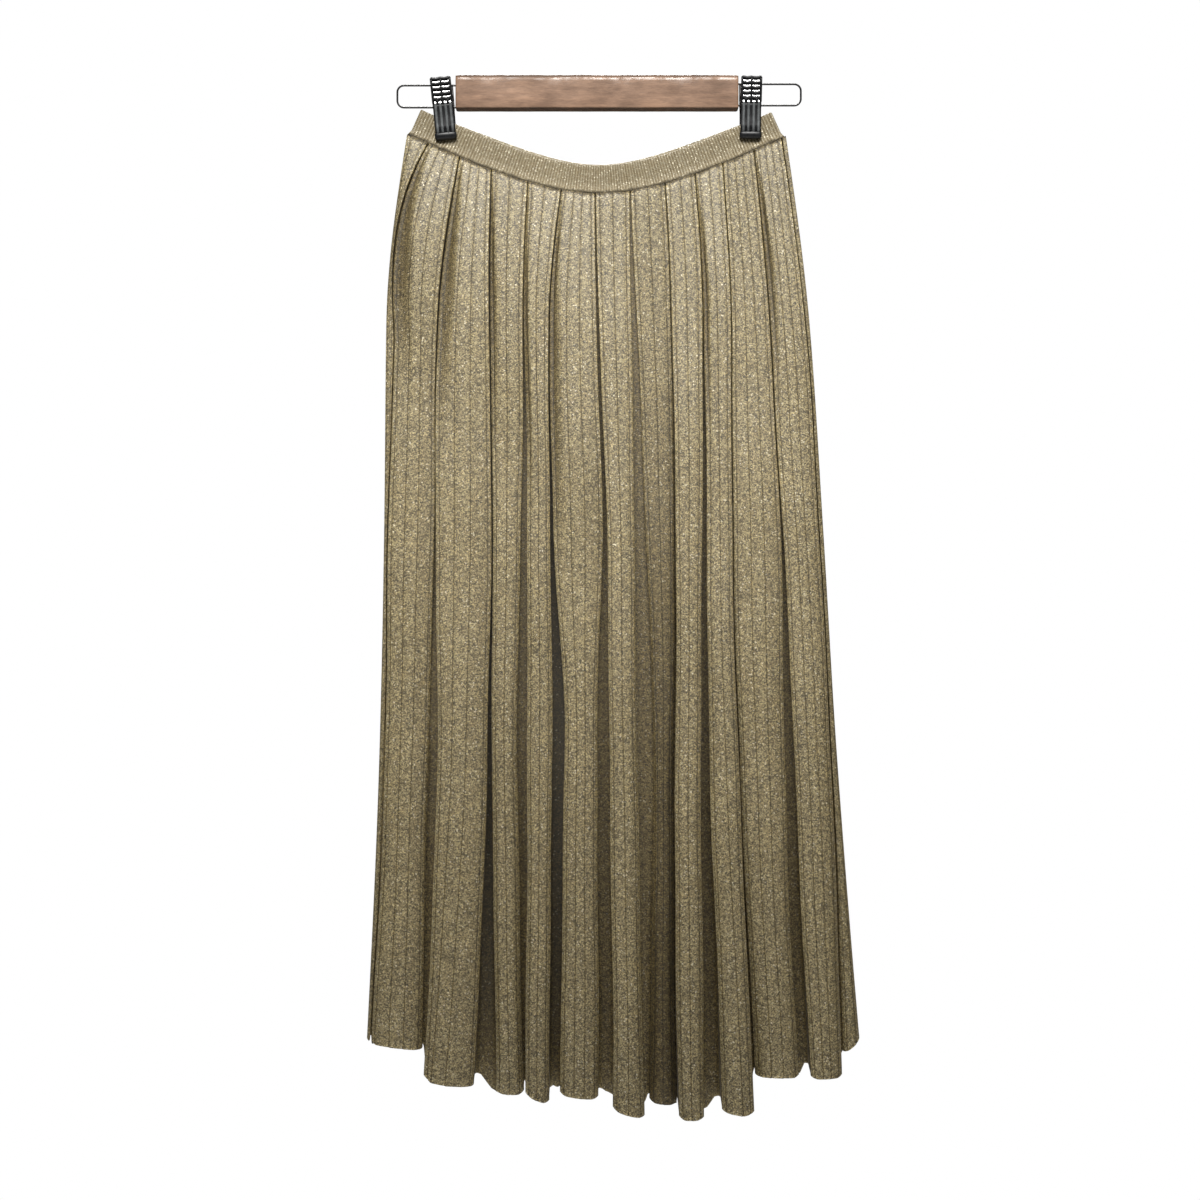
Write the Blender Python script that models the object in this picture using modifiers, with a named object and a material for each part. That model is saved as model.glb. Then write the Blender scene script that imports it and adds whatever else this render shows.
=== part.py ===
"""Pleated knit maxi skirt, hung flat from two clips on a wooden bar hanger.

Metres, +Z up. The origin is the middle of the top of the hanger's bar. The skirt's front looks along -Y,
and +X is on the right as the front is seen. Sizes are in millimetres until MM makes them metres.
"""

import math
from collections import namedtuple

import bmesh
import bpy
import numpy as np

MM = 0.001
SEAM_GAP = 0.3  # between two pieces that are sewn together or lie on each other

# The photograph's eye, which makes what lies nearer look larger. Sizes as seen are those on the bar's plane.
EYE_DISTANCE = 1500.0

# The waist seam is a sagging line, highest at the two ends.
SEAM_LOW_Z = -108.0
SEAM_BEND = 81.0
SEAM_STEEPNESS = 0.5
SEAM_EASE = 0.2  # room for the seam's curve between the points of the wall's edge
BACK_RAISE = 5.0  # the back of the waist sags less
WAIST_HALF = 172.8

# The band
BAND_LEFT = -168.5
BAND_RIGHT = 163.8
BAND_HEIGHT = 25.2
BAND_EXTRA_HEIGHT = 0.5  # more at the two ends
BAND_WALL = 2.0
BAND_PINCHED = 1.4  # half the depth between the band's two layers where the clips hold it
BAND_AT_SEAM = 3.0
PINCH_SHARE = 0.2  # how far up the band it is as thin as where it is pinched
WAIST_OPENING = 6.5  # how much further each side stands out in the middle
OPEN_HALF_WIDTH = 125.0
BAND_STEPS = 22

# The pleated wall: three layers lie on each other at the waist.
WALL = 1.2
LAYER_GAP = 0.6
FOLD = 2 * WALL + LAYER_GAP
CLOSED_DEPTH = 2 * WALL + 2 * LAYER_GAP
WAIST_FACE_Y = -5.2
MIN_MOUTH = 0.8
UNDERCUT_MARGIN = 2.5
RECESS_LIFT = 1.0  # the hem of a recess hangs this much higher than the corners beside it
RIB_GROOVE_HALF = 1.0
RIB_GROOVE_DEPTH = 0.5
RIB_FROM_FOLD = 3.3  # each face has a sunk knit line near both of its folds and one in its middle
FACE_CROWN = 4.0  # how far a face's middle stands out from its folds at the hem
CROWN_WIDTH = 20.0  # a narrower face is flatter
CORNER_LIFT = 2.0  # a face's two corners at the hem are this much higher than its middle
SECTIONS = (0.0, 0.06, 0.16, 0.3, 0.46, 0.63, 0.81, 1.0)
HIP_Z = -219.6
THIGH_Z = -408.6
KNEE_Z = -597.6

# One row for each face, from the left side seam to the right one. The first five columns are its left and
# right edges as seen at five heights. hem_y is how far forward both stand at the hem, length is from the
# waist seam to the hem beside each of them, and floor_y is the recess on its right at the hem.
Pleat = namedtuple("Pleat", "waist hip thigh knee hem hem_y length floor_y")
PLEATS = (
    Pleat((-172.8, -154), (-191.5, -184), (-193.5, -190), (-197.5, -194), (-209, -205.5),
          (-5, -10), (813, 804.5), -5),
    Pleat((-153.2, -126), (-183, -145), (-189, -148.5), (-193, -154), (-204.5, -159.5),
          (-13, -20), (805, 798.5), -11),
    Pleat((-125, -97.5), (-144, -99), (-147.5, -97.5), (-146, -100), (-158, -114),
          (-40, -45), (816, 812.5), -18),
    Pleat((-96.5, -64.5), (-98, -67.5), (-96.5, -69.5), (-96, -74), (-93.5, -67.5),
          (-32, -32), (820, 809), -19),
    Pleat((-63.5, -34.5), (-66.5, -45), (-64, -44), (-65, -42.5), (-66, -45),
          (-48, -50), (806, 805), -20),
    Pleat((-33.5, -4), (-44, -2.5), (-41, 2.5), (-31.5, -1), (-35, -1),
          (-48, -50), (798, 798), -24),
    Pleat((-3, 27.5), (0, 28.5), (6.5, 32.5), (10, 34), (12.5, 41.5),
          (-60, -58), (804, 814), -18),
    Pleat((28.5, 59), (33.5, 65), (42.5, 68.5), (49, 67.5), (46, 71),
          (-27, -27), (809, 819), -18),
    Pleat((60, 86), (66, 93.5), (69.5, 92.5), (68.5, 92.5), (72, 94.5),
          (-60, -60), (822, 831), -26),
    Pleat((87, 111), (94.5, 118), (96.5, 120.5), (100, 125), (111, 141),
          (-57, -62), (826, 835), -18),
    Pleat((112, 139), (119, 153.5), (121.5, 163.5), (126, 167), (142, 180),
          (-33, -34), (812, 823), -14),
    Pleat((140, 164), (154.5, 185), (165.5, 197.5), (175.5, 209), (191, 218.5),
          (-42, -36), (823, 833), -5),
    Pleat((165, 168.3), (186, 189.3), (198.5, 202), (210, 213.5), (219.5, 235),
          (-11, -5), (820, 811), 0),
)
BACK_SHIFT = 5.0  # how far the back's recesses wander from the front's

# The hanger
BAR_LEFT = -128.7
BAR_RIGHT = 125.1
BAR_HEIGHT = 30.6
BAR_DEPTH = 12.0
BAR_BEVEL = 1.6
WIRE_RADIUS = 1.0
WIRE_CORNER = 5.0
WIRE_IN_BAR = 15.0
Loop = namedtuple("Loop", "side outer_x top_z bottom_z")
LOOPS = (Loop("left", -182.3, -8.6, -28.4), Loop("right", 182.5, -7.4, -26.6))

# The clips: a jaw's outline is seen from the side, y out from the middle and z down from the clip's top.
CLIP_WIDTH = 18.0
CHEEK = 2.0
JAW_OUTLINE = (
    *((-12.9, -3.3), (-12.6, -9), (-9.5, -28), (-8, -38), (-8, -50), (-7.4, -54.5)),
    *((-6, -57), (-4.8, -57), (-2.7, -53), (-2.7, -30.5), (-1.3, -29.2), (-1.3, -14), (-10.4, -3.3)),
)
JAW_POCKET = ((-10.3, 0), (-10.1, -9), (-7, -28), (-6, -36), (0, -36), (0, 0))
SLOT_ROWS = 4
SLOT_SIZE = (6.6, 2.6)
SLOT_TOP = -5.1
SLOT_PITCH = 4.3
SLOT_APART = 7.6
SLOT_BACK_Y = -7.5
CUT_FRONT_Y = -20.0  # in front of the jaw
HOLE_SIZE = 1.8
HOLE_PITCH = 4.0
HOLE_Z = -23.6
GROOVE_PITCH = 4.2
GROOVE_SIZE = (1.3, 1.0)
GROOVE_TOP = -25.9
GROOVE_LENGTH = 25.6
SPRING_RADIUS = 3.4
SPRING_Z = -18.2
Clip = namedtuple("Clip", "side x z tilt")
CLIPS = (Clip("left", -142.2, -1.6, 5.2), Clip("right", 136.5, -0.6, -0.6))


def remove_everything():
    for thing in list(bpy.data.objects):
        bpy.data.objects.remove(thing, do_unlink=True)


def new_collection(name):
    found = bpy.data.collections.new(name)
    bpy.context.scene.collection.children.link(found)
    return found


def material(name, colour, roughness, metallic=0.0):
    made = bpy.data.materials.new(name)
    made.use_nodes = True
    shader = made.node_tree.nodes["Principled BSDF"]
    shader.inputs["Base Color"].default_value = (*colour, 1)
    shader.inputs["Roughness"].default_value = roughness
    shader.inputs["Metallic"].default_value = metallic
    return made


def add_object(name, mesh, home, finish=None):
    made = bpy.data.objects.new(name, mesh)
    home.objects.link(made)
    if finish:
        mesh.materials.append(finish)
    return made


def mesh_of(name, shape):
    """A mesh from a bmesh, with its faces pointing out."""
    shape.normal_update()
    bmesh.ops.recalc_face_normals(shape, faces=shape.faces[:])
    mesh = bpy.data.meshes.new(name)
    shape.to_mesh(mesh)
    shape.free()
    return mesh


def smooth_through(places, values, at):
    """The value at one place on a smooth curve that runs through the values and never swings past them."""
    step = np.diff(places)
    slope = np.diff(values) / step
    lean = np.zeros(len(values))
    for k in range(1, len(slope)):
        if slope[k - 1] * slope[k] > 0:
            lean[k] = 2 * slope[k - 1] * slope[k] / (slope[k - 1] + slope[k])
    lean[0] = 1.5 * slope[0] - 0.5 * lean[1]
    lean[-1] = 1.5 * slope[-1] - 0.5 * lean[-2]
    k = int(np.clip(np.searchsorted(places, at) - 1, 0, len(slope) - 1))
    f = (at - places[k]) / step[k]
    start = (1 + 2 * f) * (1 - f) ** 2 * values[k] + f * (1 - f) ** 2 * step[k] * lean[k]
    end = f * f * (3 - 2 * f) * values[k + 1] - f * f * (1 - f) * step[k] * lean[k + 1]
    return start + end


def between(start, end, share):
    return start + (end - start) * share


def seam_z(x, back):
    """The height of the waist seam."""
    rise = SEAM_STEEPNESS * (math.hypot(SEAM_BEND, x) - SEAM_BEND)
    return SEAM_LOW_Z + rise + (BACK_RAISE * (1 - (x / WAIST_HALF) ** 2) if back else 0)


def waist_opening(x):
    """How much further the waist stands out here than where it is pinched."""
    return WAIST_OPENING * math.cos(math.pi / 2 * min(1, abs(x) / OPEN_HALF_WIDTH)) ** 2


def recess_shift(recess, down, back):
    """The back's recesses stand a little to one side of the front's, more so lower down."""
    inner = back and 0 < recess < len(PLEATS) - 2
    return BACK_SHIFT * math.sin(2.4 * recess + 1) * down if inner else 0


def face_edge(row, side, down, back):
    """X, Y and length of a face's left edge, side 0, or right edge, side 1, a share of the way down."""
    pleat = PLEATS[row]
    top = seam_z(pleat.waist[side], back)
    length = pleat.length[side] - CORNER_LIFT
    heights = (0, top - HIP_Z, top - THIGH_Z, top - KNEE_Z, length)
    seen = [stage[side] for stage in (pleat.waist, pleat.hip, pleat.thigh, pleat.knee, pleat.hem)]
    x = smooth_through(heights, seen, down * length) + recess_shift(row - 1 + side, down, back)
    y = between(WAIST_FACE_Y - waist_opening(pleat.waist[side]), pleat.hem_y[side], down**0.9)
    return np.array((x * (EYE_DISTANCE + y) / EYE_DISTANCE, y, length))


def undercut(width, down):
    """How far a fold's hidden layer lies in behind its face, and how far back the fold's second corner is."""
    reach = max(0, width / 2 - UNDERCUT_MARGIN)
    return reach * (1 - down) ** 1.1, FOLD if reach else FOLD / 2


def face_points(left, right, down):
    """A face from edge to edge with its sunk lines, and whether each point has an inner one."""
    along = (right - left) / np.linalg.norm((right - left)[:2])
    width = right[0] - left[0]
    half = min(RIB_GROOVE_HALF, width / 12)
    sunk = np.array((0, RIB_GROOVE_DEPTH * half / RIB_GROOVE_HALF, 0))
    near = min(RIB_FROM_FOLD / width, 1 / 5)
    crown = FACE_CROWN * down**1.3 * min(1, width / CROWN_WIDTH)
    points = [(left, True)]
    for share in (near, 1 / 2, 1 - near):
        arch = 4 * share * (1 - share)
        middle = between(left, right, share) - np.array((0, crown * arch, -CORNER_LIFT))
        has_inner = share == 1 / 2
        points += [(middle - half * along, False), (middle + sunk, has_inner), (middle + half * along, False)]
    return [*points, (right, True)]


def recess_points(right, after, in_left, in_right, folds, floor_y):
    """The folded layers from one face's right edge to the next one's left edge, round the recess's floor."""
    floor = [
        (right[0] - in_left, between(right[2], after[2], 0.25)),
        ((right[0] - in_left + after[0] + in_right) / 2, between(right[2], after[2], 0.5)),
        (after[0] + in_right, between(right[2], after[2], 0.75)),
    ]
    points = [(right[0], right[1] + folds[0], right[2])]
    points.append((floor[0][0], floor_y - LAYER_GAP, floor[0][1] - RECESS_LIFT))
    points.extend((x, floor_y, length - RECESS_LIFT) for x, length in floor)
    points.append((floor[2][0], floor_y - LAYER_GAP, floor[2][1] - RECESS_LIFT))
    points.append((after[0], after[1] + folds[1], after[2]))
    return [(np.array(point), True) for point in points]


def wall_section(down, back):
    """One section of a panel from seam to seam: rows of X, Y and length, and which have an inner point."""
    edges = [[face_edge(row, side, down, back) for side in (0, 1)] for row in range(len(PLEATS))]
    for (_, right), (left, _) in zip(edges, edges[1:], strict=False):
        short = MIN_MOUTH - (left[0] - right[0])
        if short > 0:
            deeper = right if right[1] > left[1] else left
            deeper[0] += -short if deeper is right else short
    start, end = edges[0][0], edges[-1][1]
    points = [(np.array((start[0], -SEAM_GAP / 2, start[2])), True)]
    for row, (left, right) in enumerate(edges):
        points += face_points(left, right, down)
        if row < len(edges) - 1:
            after, after_right = edges[row + 1]
            closed = WAIST_FACE_Y - waist_opening(PLEATS[row].waist[1]) + CLOSED_DEPTH
            in_left, left_fold = undercut(right[0] - left[0], down)
            in_right, right_fold = undercut(after_right[0] - after[0], down)
            floor_y = between(closed, PLEATS[row].floor_y, down**1.1)
            points += recess_points(right, after, in_left, in_right, (left_fold, right_fold), floor_y)
    points.append((np.array((end[0], -SEAM_GAP / 2, end[2])), True))
    return np.array([point for point, _ in points]), [k for k, (_, inner) in enumerate(points) if inner]


def moved_in(line, distance):
    """A line's points moved to its inner side, which is on the left as it runs towards +X."""
    run = np.diff(line[:, :2], axis=0)
    run /= np.linalg.norm(run, axis=1)[:, None]
    side = np.stack((-run[:, 1], run[:, 0]), axis=1)
    before = np.vstack((side[:1], side))
    after = np.vstack((side, side[-1:]))
    turn = (before + after) / (1 + (before * after).sum(axis=1))[:, None]
    moved = line.copy()
    moved[:, :2] += distance * turn
    return moved


def pleated_panel(name, back, home, finish):
    """One pleated wall, lofted from the waist seam to the hem."""
    shape = bmesh.new()
    outer = []
    inner = []
    at_waist, with_inner = wall_section(0, back)
    tops, inner_tops = (
        np.array([seam_z(x, back) for x in line[:, 0]]) - SEAM_GAP / 2 - SEAM_EASE
        for line in (at_waist, moved_in(at_waist[with_inner], WALL))
    )
    for down in SECTIONS:
        line, _ = wall_section(down, back)
        inside = moved_in(line[with_inner], WALL)
        for ring, points, heights in ((outer, line, tops), (inner, inside, inner_tops)):
            points[:, 1] *= -1 if back else 1
            points[:, 2] = heights - down * points[:, 2]
            ring.append([shape.verts.new(point * MM) for point in points])
    for rings in (outer, inner):
        for upper, lower in zip(rings, rings[1:], strict=False):
            for k in range(len(upper) - 1):
                shape.faces.new((upper[k], upper[k + 1], lower[k + 1], lower[k]))
    for k in (0, -1):
        for n in range(len(SECTIONS) - 1):
            shape.faces.new((outer[n][k], outer[n + 1][k], inner[n + 1][k], inner[n][k]))
    for n in (0, -1):
        for k, (start, end) in enumerate(zip(with_inner, with_inner[1:], strict=False)):
            shape.faces.new((*outer[n][start : end + 1], inner[n][k + 1], inner[n][k]))
    return add_object(name, mesh_of(name, shape), home, finish)


def band_ring(share, reach):
    """One ring round the waistband, a share of the way up from the seam, reach out from its middle line."""
    places = np.linspace(BAND_LEFT, BAND_RIGHT, BAND_STEPS)
    line = []
    for back in (False, True):
        for x in places[::-1] if back else places:
            slope = SEAM_STEEPNESS * x / math.hypot(SEAM_BEND, x)
            up = share * (BAND_HEIGHT + BAND_EXTRA_HEIGHT * (x / WAIST_HALF) ** 2) / math.hypot(1, slope)
            half = between(BAND_AT_SEAM, BAND_PINCHED, min(1, share / PINCH_SHARE)) + waist_opening(x)
            z = seam_z(x, back) + SEAM_GAP / 2 + up
            line.append((x - slope * up, half if back else -half, z))
        x, half, z = line[-1]
        out = -half  # the front's half depth is negative and ends at +X, and the back's ends at -X
        tip = out + math.copysign(BAND_WALL, out)
        line.append((x + out, 0, z + slope * tip))
    line = np.array(line)
    wrapped = np.vstack((line[-1:], line, line[:1]))
    return moved_in(wrapped, -reach)[1:-1]


def waistband(home, finish):
    shape = bmesh.new()
    shares = (0, PINCH_SHARE, 0.6, 1)
    outer, inner = (
        [[shape.verts.new(point * MM) for point in band_ring(share, reach)] for share in shares]
        for reach in (BAND_WALL / 2, -BAND_WALL / 2)
    )
    count = len(outer[0])
    for k in range(count):
        after = (k + 1) % count
        for rings in (outer, inner):
            for lower, upper in zip(rings, rings[1:], strict=False):
                shape.faces.new((lower[k], lower[after], upper[after], upper[k]))
        for n in (0, -1):
            shape.faces.new((outer[n][k], outer[n][after], inner[n][after], inner[n][k]))
    return add_object("waistband", mesh_of("waistband", shape), home, finish)


def box_mesh(name, low, high):
    shape = bmesh.new()
    bmesh.ops.create_cube(shape, size=1)
    low, high = np.array(low, float), np.array(high, float)
    for vert in shape.verts:
        vert.co = (low + (np.array(vert.co) + 0.5) * (high - low)) * MM
    return mesh_of(name, shape)


def cutter(name, mesh, home):
    made = add_object(name, mesh, home)
    made.hide_render = True
    made.display_type = "WIRE"
    return made


def cut(piece, tool):
    change = piece.modifiers.new(tool.name, "BOOLEAN")
    change.object = tool
    change.operation = "DIFFERENCE"


def loop_points(loop):
    """A flat wire loop: two legs out of the bar's end, joined by a run with two round corners."""
    side = -1 if loop.side == "left" else 1
    inside = (BAR_LEFT if side < 0 else BAR_RIGHT) - side * WIRE_IN_BAR
    x = loop.outer_x - side * (WIRE_RADIUS + WIRE_CORNER)
    points = [(inside, loop.top_z)]
    corners = ((loop.top_z - WIRE_CORNER, 90), (loop.bottom_z + WIRE_CORNER, 0))
    for z, start in corners:
        for step in range(5):
            angle = math.radians(start - 22.5 * step)
            points.append((x + side * WIRE_CORNER * math.cos(angle), z + WIRE_CORNER * math.sin(angle)))
    return [*points, (inside, loop.bottom_z)]


def wire(name, points, radius, home, finish):
    path = bpy.data.curves.new(name, "CURVE")
    path.dimensions = "3D"
    path.bevel_depth = radius * MM
    path.bevel_resolution = 2
    path.use_fill_caps = True
    spline = path.splines.new("POLY")
    spline.points.add(len(points) - 1)
    for place, (x, z) in zip(spline.points, points, strict=True):
        place.co = (x * MM, 0, z * MM, 1)
    path.materials.append(finish)
    made = bpy.data.objects.new(name, path)
    home.objects.link(made)
    return made


def leg_hole(name, x_range, z, home):
    """A round cutter along X for a wire's leg, a little wider than the wire."""
    shape = bmesh.new()
    length = x_range[1] - x_range[0]
    radius = (WIRE_RADIUS + SEAM_GAP) * MM
    size = {"radius1": radius, "radius2": radius, "depth": length * MM}
    bmesh.ops.create_cone(shape, cap_ends=True, segments=12, **size)
    for vert in shape.verts:
        x, y, along = vert.co
        vert.co = (along + sum(x_range) / 2 * MM, y, x + z * MM)
    return cutter(name, mesh_of(name, shape), home)


def hanger_bar(home, cutters, finish):
    half = BAR_DEPTH / 2
    block = box_mesh("hanger_bar", (BAR_LEFT, -half, -BAR_HEIGHT), (BAR_RIGHT, half, 0))
    bar = add_object("hanger_bar", block, home, finish)
    rounding = bar.modifiers.new("edges", "BEVEL")
    rounding.width = BAR_BEVEL * MM
    rounding.segments = 2
    for loop in LOOPS:
        left = loop.side == "left"
        inside = BAR_LEFT + WIRE_IN_BAR + 1 if left else BAR_RIGHT - WIRE_IN_BAR - 1
        span = (BAR_LEFT - 5, inside) if left else (inside, BAR_RIGHT + 5)
        for place, z in (("top", loop.top_z), ("bottom", loop.bottom_z)):
            cut(bar, leg_hole(f"hole_{loop.side}_{place}", span, z, cutters))
    return bar


def side_outline(name, outline, half_width):
    """A closed outline in Y and Z, as thick along X as twice half_width."""
    shape = bmesh.new()
    near, far = (
        [shape.verts.new((x * MM, y * MM, z * MM)) for y, z in outline] for x in (-half_width, half_width)
    )
    shape.faces.new(near)
    shape.faces.new(far[::-1])
    for k in range(len(outline)):
        after = (k + 1) % len(outline)
        shape.faces.new((near[k], far[k], far[after], near[after]))
    return mesh_of(name, shape)


def joined_boxes(name, boxes):
    """One mesh of boxes that stand apart from each other."""
    shape = bmesh.new()
    for low, high in boxes:
        made = bmesh.ops.create_cube(shape, size=1)
        for vert in made["verts"]:
            share = np.array(vert.co) + 0.5
            vert.co = (np.array(low) + share * (np.array(high) - np.array(low))) * MM
    return mesh_of(name, shape)


def jaw_openings():
    """The slots of the lattice and the row of small holes, as boxes through the jaw's plate."""
    width, height = SLOT_SIZE
    boxes = []
    for column in (-0.5, 0.5):
        x = column * SLOT_APART
        for row in range(SLOT_ROWS):
            z = SLOT_TOP - row * SLOT_PITCH
            boxes.append(((x - width / 2, CUT_FRONT_Y, z - height), (x + width / 2, SLOT_BACK_Y, z)))
    for place in range(4):
        x = (place - 1.5) * HOLE_PITCH
        half = HOLE_SIZE / 2
        boxes.append(((x - half, CUT_FRONT_Y, HOLE_Z - half), (x + half, SLOT_BACK_Y, HOLE_Z + half)))
    return boxes


def jaw_front_y(z):
    """The front of the jaw's outline at a height."""
    front = JAW_OUTLINE[:6]
    heights = [-height for _, height in front]
    return float(np.interp(-z, heights, [y for y, _ in front]))


def groove_mesh(name):
    """Long shallow cutters that follow the jaw's front, which leave four ribs between them."""
    shape = bmesh.new()
    width, depth = GROOVE_SIZE
    heights = (GROOVE_TOP, -28, -38, GROOVE_TOP - GROOVE_LENGTH + 2.5, GROOVE_TOP - GROOVE_LENGTH)
    for place in range(3):
        x = (place - 1) * GROOVE_PITCH
        rings = []
        for z in heights:
            y = min(jaw_front_y(z), -8)
            low, high = x - width / 2, x + width / 2
            corners = ((low, y - 4), (high, y - 4), (high, y + depth), (low, y + depth))
            rings.append([shape.verts.new((a * MM, b * MM, z * MM)) for a, b in corners])
        for upper, lower in zip(rings, rings[1:], strict=False):
            for k in range(4):
                after = (k + 1) % 4
                shape.faces.new((upper[k], upper[after], lower[after], lower[k]))
        shape.faces.new(rings[0])
        shape.faces.new(rings[-1])
    return mesh_of(name, shape)


def place_clip(piece, clip, turned):
    piece.location = (clip.x * MM, 0, clip.z * MM)
    piece.rotation_euler = (0, math.radians(-clip.tilt), math.pi if turned else 0)
    if turned:
        piece.rotation_euler.y = math.radians(clip.tilt)


def clip_pieces(clip, home, cutters, plastic, steel):
    for place in ("front", "back"):
        name = f"clip_{clip.side}_{place}"
        jaw = add_object(name, side_outline(name, JAW_OUTLINE, CLIP_WIDTH / 2), home, plastic)
        tools = (
            side_outline(f"{name}_pocket", JAW_POCKET, CLIP_WIDTH / 2 - CHEEK),
            joined_boxes(f"{name}_slots", jaw_openings()),
            groove_mesh(f"{name}_grooves"),
        )
        for mesh in tools:
            tool = cutter(mesh.name, mesh, cutters)
            place_clip(tool, clip, place == "back")
            cut(jaw, tool)
        place_clip(jaw, clip, place == "back")
    shape = bmesh.new()
    length = (CLIP_WIDTH - 2 * CHEEK - 2 * SEAM_GAP) * MM
    radius = SPRING_RADIUS * MM
    bmesh.ops.create_cone(shape, cap_ends=True, segments=16, radius1=radius, radius2=radius, depth=length)
    for vert in shape.verts:
        x, y, along = vert.co
        vert.co = (along, y, x + SPRING_Z * MM)
    name = f"clip_{clip.side}_spring"
    spring = add_object(name, mesh_of(name, shape), home, steel)
    place_clip(spring, clip, False)


def main():
    remove_everything()
    home = new_collection("pleated_skirt_on_hanger")
    cutters = new_collection("cutters")
    knit = material("gold_knit", (0.42, 0.36, 0.25), 0.6, 0.25)
    rib = material("ribbed_knit", (0.38, 0.34, 0.25), 0.65, 0.15)
    wood = material("pale_wood", (0.44, 0.24, 0.15), 0.45)
    plastic = material("dark_plastic", (0.04, 0.045, 0.05), 0.4)
    black_wire = material("black_wire", (0.02, 0.02, 0.02), 0.35, 0.8)
    steel = material("spring_steel", (0.5, 0.5, 0.5), 0.3, 1.0)
    pleated_panel("skirt_front", False, home, knit)
    pleated_panel("skirt_back", True, home, knit)
    waistband(home, rib)
    hanger_bar(home, cutters, wood)
    for loop in LOOPS:
        wire(f"wire_loop_{loop.side}", loop_points(loop), WIRE_RADIUS, home, black_wire)
    for clip in CLIPS:
        clip_pieces(clip, home, cutters, plastic, steel)


main()
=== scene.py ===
"""Looks of the pleated knit maxi skirt on its clip hanger.

Sizes are in millimetres up to where a mesh is made. Lights and materials use metres.
"""

import math
from collections import namedtuple

import bmesh
import bpy
import numpy as np
from mathutils import Matrix, Vector


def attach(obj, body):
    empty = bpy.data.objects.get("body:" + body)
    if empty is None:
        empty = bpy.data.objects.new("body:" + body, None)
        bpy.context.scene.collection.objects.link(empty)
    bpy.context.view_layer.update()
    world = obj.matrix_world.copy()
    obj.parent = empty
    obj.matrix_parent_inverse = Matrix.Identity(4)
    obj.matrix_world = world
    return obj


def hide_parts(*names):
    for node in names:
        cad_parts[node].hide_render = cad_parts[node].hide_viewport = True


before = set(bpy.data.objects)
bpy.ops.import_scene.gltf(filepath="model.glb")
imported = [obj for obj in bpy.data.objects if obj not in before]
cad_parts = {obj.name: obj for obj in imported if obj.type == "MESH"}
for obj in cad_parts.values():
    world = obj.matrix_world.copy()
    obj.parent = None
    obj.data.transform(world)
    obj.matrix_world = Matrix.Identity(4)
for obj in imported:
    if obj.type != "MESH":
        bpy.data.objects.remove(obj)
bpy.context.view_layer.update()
BODY = "root"
MM = 0.001

# Camera: its height and distance give the photograph's frame, 1.08 m wide on the plane of the bar.
FRAME_WIDTH = 1080.0
EYE_DISTANCE = 1500.0
EYE_X = 0.9
EYE_Z = -471.6
SENSOR = 36.0

# Lamps and room, in metres, watts and degrees
LAMP_OUT = 0.95
LAMP_HEIGHT = 0.6
LAMP_AIM = (0, 0, -0.35)
LAMP_SIZE = (2.3, 0.5)
LAMP_POWER = 7.2
LAMP_BEAM = 50
LAMP_COLOUR = (1.0, 0.985, 0.96)
ROOM_COLOUR = (1, 0.95, 0.85, 1)
ROOM_LEVEL = 0.045

# Floor
FLOOR_HALF_WIDTH = 1300
FLOOR_FRONT = -1600
FLOOR_BACK = 1100
FLOOR_Z = -1450
FLOOR_GLOW = 0.38
FLOOR_COLOURS = ((0.78, 0.78, 0.77), (0.82, 0.82, 0.81))

# Shape of the cloth, as in the solids
SEAM_GAP = 0.3
SEAM_LOW_Z = -108.0
SEAM_BEND = 81.0
SEAM_STEEPNESS = 0.5
SEAM_EASE = 0.2
BACK_RAISE = 5.0
WAIST_HALF = 172.8
BAND_LEFT = -168.5
BAND_RIGHT = 163.8
BAND_HEIGHT = 25.2
BAND_EXTRA_HEIGHT = 0.5
BAND_WALL = 2.0
BAND_PINCHED = 1.4
BAND_AT_SEAM = 3.0
PINCH_SHARE = 0.2
WAIST_OPENING = 6.5
OPEN_HALF_WIDTH = 125.0
WALL = 1.2
LAYER_GAP = 0.6
FOLD = 2 * WALL + LAYER_GAP
CLOSED_DEPTH = 2 * WALL + 2 * LAYER_GAP
WAIST_FACE_Y = -5.2
MIN_MOUTH = 0.8
UNDERCUT_MARGIN = 2.5
RECESS_LIFT = 1.0
RIB_FROM_FOLD = 3.3
CORNER_LIFT = 2.0
HIP_Z = -219.6
THIGH_Z = -408.6
KNEE_Z = -597.6
BACK_SHIFT = 5.0

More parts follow.
